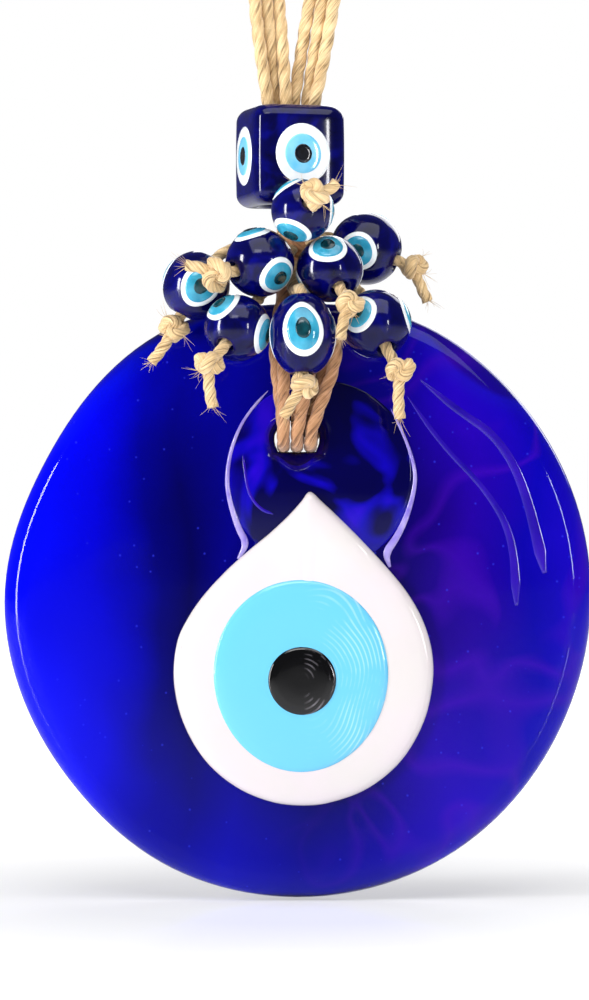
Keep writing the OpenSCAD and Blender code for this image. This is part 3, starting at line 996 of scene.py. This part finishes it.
class ORNAMENT_OT_hole_cords(OrnamentOperator):
    """Makes the six brown jute cords that pass through the disc's hole"""

    bl_idname = "ornament.hole_cords"
    bl_label = "Hole cords"

    def execute(self, context):
        width = context.scene.ornament_cords.width
        for side, (tied, fan, hole) in HOLE_SPREAD.items():
            for layer, table, shift in (("inner", HOLE_INNER, 0), ("outer", HOLE_OUTER, OUTER_SHIFT)):
                places = (tied, fan + shift, hole)
                route = []
                for y, z, at in table:
                    k = min(int(at), 1)
                    route.append((places[k] + (places[k + 1] - places[k]) * (at - k), y, z))
                tops = [(tied * 0.7, end[1] * 0.55, CORE_TOP - 7.6) for end in (route[0], route[-1])]
                verts, faces, fibres, line, length = cord_mesh([tops[0], *route, tops[1]], width)
                cord = piece(f"{side}_{layer}_hole_cord", verts, faces, "brown jute", None, "brown_jute",
                             [f"{side}_hole_cords"], fibres)
                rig.blend(cord, "cords", "hole_loop",
                         start=(0, 0, HOLE_BLEND[0] * MM), end=(0, 0, HOLE_BLEND[1] * MM))
                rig.cord(cord, exit=line[0], length=length, diameter=width, far_end="object", stiffness="limp",
                        lay="taut", path=line)
        return {"FINISHED"}


class ORNAMENT_OT_bead_strings(OrnamentOperator):
    """Makes the beads' cords with their overhand knots and frayed tails"""

    bl_idname = "ornament.bead_strings"
    bl_label = "Bead cords and knots"

    def execute(self, context):
        width = context.scene.ornament_cords.width
        for number, (name, bead) in enumerate(BEADS.items()):
            centre, lean, heading, _, radius, stretch, core, knot, tail = bead
            draw = random.Random(40 + number)
            out = bore_way(lean, heading)
            reach = out * (radius * stretch + STRING_GAP)
            centre = Vector(centre)
            first = Vector(core[0])
            start = Vector((-0.8 * first.x, -0.8 * first.y, first.z))
            knot = Vector(knot)
            tail = Vector(tail)
            side = (tail - knot).cross(out).normalized() * 0.5
            route = [start, *core, centre - reach, centre + reach, knot, knot.lerp(tail, 0.5) + side, tail]
            verts, faces, fibres, line, length = cord_mesh(route, width * 0.9, 2, STRING_TURN)
            string = piece(f"{name}_string", verts, faces, "straw jute", "cords", "jute",
                           [f"{name}_bead_string"], fibres)
            tie = self.overhand(name, knot, (tail - knot).normalized(), width, draw)
            way = (line[-1] - line[-4]).normalized()
            roots = [(line[-1] - way * 0.6 * MM, way)] * 3 + [
                (knot * MM + turn * 2.1 * MM, turn)
                for turn in [Vector([draw.uniform(-1, 1) for _ in range(3)]).normalized() for _ in range(3)]
            ]
            fray_verts, fray_faces = hairs(draw, roots, 26, 2.6, 0.12)
            fray = piece(f"{name}_fray", fray_verts, fray_faces, "straw jute", "cords", "jute")
            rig.cord(string, exit=line[0], length=max(length, SHORTEST_CORD), diameter=width * 0.9,
                    far_end="knot", stiffness="limp", lay="hanging", path=line, with_pieces=[tie, fray])
        return {"FINISHED"}

    def overhand(self, name, middle, way, width, draw):
        """An overhand knot pulled tight: one strand that passes three times about the middle."""
        turn = way.to_track_quat("Z", "Y") @ Matrix.Rotation(draw.uniform(0, 2), 3, "Z").to_quaternion()
        size = 1.5 if name == "left" else draw.uniform(1.05, 1.25)
        line = []
        for t in around(90) + [math.tau]:
            loop = Vector((math.sin(t) + 2 * math.sin(2 * t), math.cos(t) - 2 * math.cos(2 * t),
                           -1.7 * math.sin(3 * t)))
            line.append((middle + turn @ (loop * 0.5 * size)) * MM)
        verts, faces, fibres, _ = twisted(line, width * 0.95, KNOT_TURN)
        return piece(f"{name}_knot", verts, faces, "straw jute", "cords", "jute", (), fibres)


def bore_way(lean, heading):
    """The way a bead's bore points, towards its knot."""
    lean, heading = math.radians(lean), math.radians(heading)
    return Vector((math.sin(lean) * math.cos(heading), math.sin(lean) * math.sin(heading), math.cos(lean)))


class ORNAMENT_OT_core(OrnamentOperator):
    """Makes the bound bunch in the middle of the bead cluster"""

    bl_idname = "ornament.core"
    bl_label = "Bound core"

    def execute(self, context):
        width = context.scene.ornament_cords.width
        low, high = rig.box("cluster_core")
        radius = (high.x - low.x) / 2
        turns = 4.4
        coil = []
        for k in range(241):
            t = k / 240
            angle = math.tau * turns * t
            reach = radius - width / 2
            coil.append(Vector((reach * math.cos(angle), reach * math.sin(angle),
                                high.z - width / 2 - (high.z - low.z - width) * t)))
        verts, faces, fibres, _ = twisted(coil, width, 6.5)
        piece("core_binding", verts, faces, "brown jute", "cords", "brown_jute", ["cluster_core"], fibres)
        middle = [Vector((0, 0, high.z - (high.z - low.z) * t)) for t in (0, 0.25, 0.5, 0.75, 1)]
        verts, faces, fibres, _ = twisted(middle, radius * 1.7, 24, 5, 30, 0.5)
        piece("core_bunch", verts, faces, "brown jute", "cords", "brown_jute", ["cluster_core"], fibres)
        return {"FINISHED"}


class ORNAMENT_OT_disc(OrnamentOperator):
    """Makes the cobalt glass disc and the gather of glass about its hole"""

    bl_idname = "ornament.disc"
    bl_label = "Glass disc"

    def execute(self, context):
        disc = context.scene.ornament_disc
        half = disc.thickness / MM / 2
        edge = disc.edge / MM
        angles = around(FACE_SEGMENTS)

        def on_face(angle, share):
            """X and Z between the hole's mouth, at 0, and the start of the rounded edge, at 1."""
            mouth = hole_radius(angle) + scoop(angle)
            reach = disc_radius(angle) - edge
            inner = Vector((mouth * math.cos(angle), HOLE_Z + mouth * math.sin(angle)))
            outer = Vector((reach * math.cos(angle), DISC_Z + reach * math.sin(angle)))
            return inner.lerp(outer, share)

        shares = [(i / 36) ** 1.15 for i in range(37)]
        rings = []
        for share in shares:
            ring = [on_face(a, share) for a in angles]
            rings.append([(p.x, disc_front(p.x, p.y) * (1 - share**8) - half * share**8, p.y) for p in ring])
        for turn in [math.pi * i / 20 for i in range(1, 20)]:
            inset = edge * (1 - math.sin(turn))
            ring = []
            for a in angles:
                reach = disc_radius(a) - inset
                ring.append((reach * math.cos(a), -half * math.cos(turn), DISC_Z + reach * math.sin(a)))
            rings.append(ring)
        for share in reversed(shares):
            rings.append([(p.x, half, p.y) for p in (on_face(a, share) for a in angles)])
        for face in (half, -half):
            turns = [math.pi / 2 * i / 6 for i in range(1, 7)]
            wall = []
            for turn in turns:
                ring = []
                for a in angles:
                    reach = hole_radius(a) + scoop(a) * (1 - math.sin(turn))
                    y = face - math.copysign(1.3 * scoop(a) * (1 - math.cos(turn)), face)
                    ring.append((reach * math.cos(a), y, HOLE_Z + reach * math.sin(a)))
                wall.append(ring)
            rings += wall if face > 0 else wall[::-1]
        verts, faces = rings_mesh([[Vector(p) * MM for p in ring] for ring in rings], closed=True)
        piece("disc_glass", verts, faces, "cast cobalt", "disc", "cobalt_glass", ["cobalt_disc"])

        shares = [i / 18 for i in range(19)]
        rings = []
        for share in shares:
            ring = []
            for a in angles:
                mouth = hole_radius(a) + scoop(a) - 0.2
                inner = Vector((mouth * math.cos(a), HOLE_Z + mouth * math.sin(a)))
                outer = Vector(GATHER_MIDDLE) + GATHER_RADIUS * Vector((math.cos(a), math.sin(a)))
                p = inner.lerp(outer, share)
                ring.append((p.x, gather_front(p.x, p.y) + 0.5 * (1 - min(1, share * 6)) ** 2, p.y))
            rings.append(ring)
        rings += [[(x, -half + 0.4, z) for x, _, z in ring] for ring in (rings[-1], rings[9], rings[0])]
        verts, faces = rings_mesh([[Vector(p) * MM for p in ring] for ring in rings], closed=True)
        piece("hole_gather_glass", verts, faces, "gather cobalt", "disc", "deep_cobalt_glass",
              ["hole_gather"])
        return {"FINISHED"}


class ORNAMENT_OT_disc_eye(OrnamentOperator):
    """Makes the white drop, the iris, the pupil and the threads of glass on the disc"""

    bl_idname = "ornament.disc_eye"
    bl_label = "Eye on the disc"

    def execute(self, context):
        disc = context.scene.ornament_disc
        drop = through_ring(DROP_OUTLINE, 162)
        self.dome("white_drop_glass", drop, DROP_MIDDLE,
                  ((1, -0.5), (1, 0.15), (0.995, 0.7), (0.98, 1.15), (0.95, 1.45), (0.9, 1.62), (0.8, 1.72),
                   (0.6, 1.78), (0.4, 1.8), (0.2, 1.8)), "white", "white_glass", "white_drop")
        for name, middle, width, height, base, rise, finish_name, slot, cad in (
            ("iris_glass", IRIS_MIDDLE, disc.iris_width, disc.iris_height, 1.75, 0.55,
             "sky", "sky_glass", "blue_iris"),
            ("pupil_glass", PUPIL_MIDDLE, disc.pupil_width, disc.pupil_width, 2.2, 0.5,
             "black", "black_glass", "black_pupil"),
        ):
            ring = []
            for a in around(96):
                out = Vector((width * math.cos(a), height * math.sin(a))) / 2 / MM
                ring.append(middle + out * (1 + 0.006 * math.sin(3 * a)))
            levels = [(1, -0.6), (1, 0.0), (0.985, 0.35), (0.95, 0.65), (0.88, 0.85), (0.7, 0.96), (0.4, 1),
                      (0.2, 1)]
            self.dome(name, ring, middle, [(s, base + rise * r) for s, r in levels], finish_name, slot, cad)
        # Each thread's points as X and Z, its width at its thin and thick ends, and its finish.
        threads = (
            ("gather_thread_left",
             [(-3.6, -98.6), (-8.7, -104.2), (-10.9, -109), (-11.8, -113.3), (-11.8, -117.2), (-10.1, -123.2),
              (-8.4, -126), (-10, -128.6)], 0.5, 1.5, "lilac"),
            ("gather_thread_right",
             [(15.2, -101.6), (17.4, -105.9), (19.3, -110.4), (20.2, -114.3), (19.8, -117.5), (18.6, -121.6),
              (16.9, -125.1), (15, -127.6), (15.8, -130)], 0.5, 1.7, "lilac"),
            ("violet_thread_left",
             [(-9.2, -110.4), (-8.8, -113.4), (-8.2, -117.4), (-6.4, -120), (-4, -121)], 0.6, 0.9, "violet"),
            ("violet_thread_upper",
             [(20.9, -98.2), (27.4, -103.5), (33.9, -107.8), (38.5, -115.7), (42.1, -131)],
             1.6, 2.6, "violet"),
            ("violet_thread_lower",
             [(18.5, -100.6), (24.8, -109.5), (32, -116.7), (36.6, -124.5), (37.3, -136.5)],
             1.2, 2.2, "violet"),
        )
        for name, points, thin, thick, finish_name in threads:
            self.thread(name, points, thin, thick, finish_name)
        return {"FINISHED"}

    def dome(self, name, ring, middle, levels, finish_name, slot, cad):
        """A shallow dome on the front: ring shrinks to middle through levels of share and height."""
        rings = []
        for share, height in levels:
            level = []
            for p in ring:
                q = middle + (p - middle) * share
                level.append(Vector((q.x, gather_front(q.x, q.y) - height, q.y)) * MM)
            rings.append(level)
        verts, faces = rings_mesh(rings)
        piece(name, verts, faces, finish_name, "disc", slot, [cad])

    def thread(self, name, points, thin, thick, finish_name):
        """A thread of glass laid on the front, thicker towards its lower end."""
        line = []
        for p in eased([(x, 0, z) for x, z in points]):
            x, z = p.x / MM, p.z / MM
            line.append(Vector((x, gather_front(x, z) + 0.12, z)) * MM)

        def outline(at, total):
            t = at / total
            wide = (thin + (thick - thin) * t * t) * MM / 2 * min(1, 0.15 + 6 * t, 0.3 + 8 * (1 - t))
            tall = min(wide, (0.32 if finish_name == "lilac" else 0.16) * MM)
            return [(wide * math.cos(a), tall * math.sin(a)) for a in around(12)]

        points = spaced(line, 0.5 * MM)
        rings = []
        for i, (p, at) in enumerate(points):
            ahead = (points[min(i + 1, len(points) - 1)][0] - points[max(i - 1, 0)][0]).normalized()
            front = Vector((0, -1, 0))
            across = ahead.cross(front).normalized()
            rings.append([p + across * u + front * v for u, v in outline(at, points[-1][1])])
        verts, faces = rings_mesh(rings)
        nodes = ["gather_trail"] if finish_name == "lilac" else []
        piece(name, verts, faces, finish_name, "disc", "lilac_glass", nodes)


def inlay(at, width, height, proud, draw, wobble):
    """A lens let into a surface. at(u, v, lift) is the point on the surface at u, v, raised by lift, in
    millimetres."""
    first, second = draw.uniform(0, math.tau), draw.uniform(0, math.tau)
    rings = []
    for share, lift in ((1, -0.4), (1, 0.02), (0.96, proud * 0.75), (0.88, proud), (0.6, proud),
                        (0.3, proud)):
        ring = []
        for a in around(EYE_SEGMENTS):
            reach = share * (1 + wobble * (math.sin(2 * a + first) + 0.6 * math.sin(3 * a + second)))
            ring.append(at(width / 2 * reach * math.cos(a), height / 2 * reach * math.sin(a), lift))
        rings.append(ring)
    return rings_mesh(rings)


class ORNAMENT_OT_cube(OrnamentOperator):
    """Makes the cube bead with an eye on each side"""

    bl_idname = "ornament.cube"
    bl_label = "Cube bead"

    def execute(self, context):
        eye = context.scene.ornament_beads.cube_eye / MM
        low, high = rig.box("cube_eye_pupils")
        middle = (low + high) / 2 / MM
        half, half_height, edge, power = CUBE_HALF, CUBE_HALF_HEIGHT, CUBE_EDGE, CUBE_SQUARENESS
        turn = Matrix.Rotation(math.radians(CUBE_TURN_DEGREES), 3, "Z")

        def side(angle, wide):
            spread = (abs(math.cos(angle)) ** power + abs(math.sin(angle)) ** power) ** (1 / power)
            return Vector((math.cos(angle), math.sin(angle), 0)) * wide / spread

        def swell(z):
            return half * (1 + 0.018 * (1 - (z / half_height) ** 2))

        angles = around(96)
        rings = []
        for z in [half_height - edge - (2 * (half_height - edge)) * i / 16 for i in range(17)]:
            rings.append([side(a, swell(z)) + Vector((0, 0, z)) for a in angles])
        for top in (-1, 1):
            caps = []
            for turned in [math.pi / 2 * i / 8 for i in range(1, 9)]:
                z = top * (half_height - edge * (1 - math.sin(turned)))
                wide = swell(half_height - edge) - edge * (1 - math.cos(turned))
                caps.append([side(a, wide) + Vector((0, 0, z)) for a in angles])
            rim = caps[-1]
            # The flared mouth of the bore: share of the way in from the rim, depth and radius.
            for share, sunk, radius in ((0.5, 0, 5.5), (1, 0.05, 5.45), (1, 0.35, 5.2), (1, 1.0, 4.9),
                                        (1, 3.4, 4.4)):
                z = top * (half_height - sunk)
                inner = [Vector((math.cos(a), math.sin(a), 0)) * radius for a in angles]
                caps.append([outer.lerp(p, share).xy.to_3d() + Vector((0, 0, z))
                             for outer, p in zip(rim, inner)])
            rings = rings + caps if top < 0 else caps[::-1] + rings
        verts, faces = rings_mesh([[(middle + turn @ p) * MM for p in ring] for ring in rings], closed=True)
        piece("cube_bead_glass", verts, faces, "bead cobalt", "cube_bead", "bead_glass", ["cube_glass"])

        for name, share, proud, finish_name, slot in (
            ("whites", 1, 0.12, "bead white", "white_glass"),
            ("blues", 0.68, 0.2, "cube sky", "sky_glass"),
            ("pupils", 0.33, 0.28, "bead black", "black_glass"),
        ):
            parts = []
            for k in range(4):
                draw = random.Random(10 + k)
                facing = turn @ Matrix.Rotation(math.radians(90 * k), 3, "Z")

                def at(u, v, lift, facing=facing):
                    deep = half * (1 - (abs(u) / half) ** power) ** (1 / power) + swell(v) - half
                    return (middle + facing @ Vector((u, -deep - lift, v))) * MM

                parts.append(inlay(at, eye * share, eye * share * 1.06, proud, draw, 0.012))
            piece(f"cube_bead_{name}", *joined(parts), finish_name, "cube_bead", slot, [f"cube_eye_{name}"])
        return {"FINISHED"}


class ORNAMENT_OT_beads(OrnamentOperator):
    """Makes the eight small beads with three eyes each"""

    bl_idname = "ornament.beads"
    bl_label = "Small beads"

    def execute(self, context):
        eye = context.scene.ornament_beads.small_eye / MM
        for number, (name, bead) in enumerate(BEADS.items()):
            centre, lean, heading, spin, radius, stretch, *_ = bead
            frame_turn = (
                Matrix.Rotation(math.radians(heading), 3, "Z")
                @ Matrix.Rotation(math.radians(lean), 3, "Y")
                @ Matrix.Rotation(math.radians(spin), 3, "Z")
            )
            centre = Vector(centre)

            def surface(angle, up, lift, radius=radius, stretch=stretch, centre=centre, turn=frame_turn,
                        k=number):
                flat = math.cos(up)
                way = Vector((flat * math.cos(angle), flat * math.sin(angle), math.sin(up)))
                lump = 0.07 * noise.noise(way * 1.6 + Vector((k * 3.1, 0, 0)))
                p = way * (radius + lump + lift)
                return (centre + turn @ Vector((p.x, p.y, p.z * stretch))) * MM

            def lathed(wide, z, turn=frame_turn, centre=centre):
                return [(centre + turn @ Vector((wide * math.cos(a), wide * math.sin(a), z))) * MM
                        for a in around(BEAD_SEGMENTS)]

            end = math.asin(BEAD_FLAT)
            rings = [[surface(a, -end + 2 * end * i / 28, 0) for a in around(BEAD_SEGMENTS)]
                     for i in range(29)]
            flat = BEAD_FLAT * radius * stretch
            rings.append(lathed(BORE_FLARE, flat))
            rings += [lathed(BORE_RADIUS, z) for z in (flat - 0.3, 0, 0.3 - flat)]
            rings.append(lathed(BORE_FLARE, -flat))
            verts, faces = rings_mesh(rings, closed=True)
            body = f"{name}_bead"
            piece(f"{name}_glass", verts, faces, "bead cobalt", body, "bead_glass", [f"{name}_bead_glass"])
            for trim, share, proud, finish_name, slot in (
                ("whites", 1, 0.1, "bead white", "white_glass"),
                ("blues", 0.77, 0.17, "teal", "teal_glass"),
                ("pupils", 0.36, 0.24, "smoke", "smoke_glass"),
            ):
                parts = []
                for k in range(3):
                    draw = random.Random(100 * number + k)
                    tall = draw.uniform(0.92, 1.1)
                    shift = draw.uniform(-0.25, 0.25) * (1 - share)

                    def at(u, v, lift, k=k, shift=shift, surface=surface, radius=radius):
                        return surface(math.tau * k / 3 + (u + shift) / radius, (v + shift) / radius, lift)

                    parts.append(inlay(at, eye * share, eye * share * tall, proud, draw, 0.045))
                piece(f"{name}_{trim}", *joined(parts), finish_name, body, slot, [f"{name}_bead_{trim}"])
        return {"FINISHED"}


class ORNAMENT_OT_fibres(OrnamentOperator):
    """Makes the stray fibres that stand out from the cords"""

    bl_idname = "ornament.fibres"
    bl_label = "Stray fibres"

    def execute(self, context):
        draw = random.Random(7)
        for name, body, table, spread, finish_name, slot in (
            ("hanging_fibres", "cords", HANG_FRONT[4:13], 1.2, "straw jute", "jute"),
            ("hole_fibres", "hole_loop",
             [(0.5 + draw.uniform(-4, 4), -9.3, z) for z in (-90, -94, -98, -102, -106)],
             0.5, "brown jute", "brown_jute"),
        ):
            roots = []
            for _ in range(60):
                k = draw.randrange(len(table) - 1)
                p = Vector(table[k]).lerp(Vector(table[k + 1]), draw.random())
                way = Vector((draw.uniform(-1, 1), -abs(draw.uniform(0.2, 1)), draw.uniform(-0.6, 0.6)))
                way.normalize()
                roots.append(((p + way * spread * 0.7) * MM, way))
            verts, faces = hairs(draw, roots, 46, 3.2, 0.13)
            piece(name, verts, faces, finish_name, body, slot)
        return {"FINISHED"}


class ORNAMENT_PT_panel(bpy.types.Panel):
    """The ornament's sizes, colours and steps"""

    bl_label = "Evil Eye Ornament"
    bl_space_type = "VIEW_3D"
    bl_region_type = "UI"
    bl_category = "Ornament"

    def draw(self, context):
        for group in SETTINGS:
            box = self.layout.box()
            settings = getattr(context.scene, group)
            for key in settings.__annotations__:
                box.prop(settings, key)
        for step in STEPS:
            self.layout.operator(step.bl_idname)


SETTINGS = {
    "ornament_glass": GlassSettings,
    "ornament_disc": DiscSettings,
    "ornament_beads": BeadSettings,
    "ornament_cords": CordSettings,
    "ornament_stage": StageSettings,
}
STEPS = (
    ORNAMENT_OT_stage,
    ORNAMENT_OT_hanging_cords,
    ORNAMENT_OT_hole_cords,
    ORNAMENT_OT_bead_strings,
    ORNAMENT_OT_core,
    ORNAMENT_OT_disc,
    ORNAMENT_OT_disc_eye,
    ORNAMENT_OT_cube,
    ORNAMENT_OT_beads,
    ORNAMENT_OT_fibres,
)
CLASSES = (*SETTINGS.values(), *STEPS, ORNAMENT_PT_panel)


def register():
    for cls in CLASSES:
        bpy.utils.register_class(cls)
    for name, cls in SETTINGS.items():
        setattr(bpy.types.Scene, name, bpy.props.PointerProperty(type=cls))


def unregister():
    for name in SETTINGS:
        delattr(bpy.types.Scene, name)
    for cls in reversed(CLASSES):
        bpy.utils.unregister_class(cls)


def main():
    """Makes every piece in order, and writes the CAD model's box and the visual model's."""
    register()
    for step in STEPS:
        getattr(bpy.ops.ornament, step.bl_idname.split(".")[1])()
    visual = [[float(c) for c in corner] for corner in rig.bounds()]
    with open("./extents.json", "w") as out:
        json.dump({"cad": CAD_BOX, "visual": visual}, out)


if __name__ == "__main__":
    main()
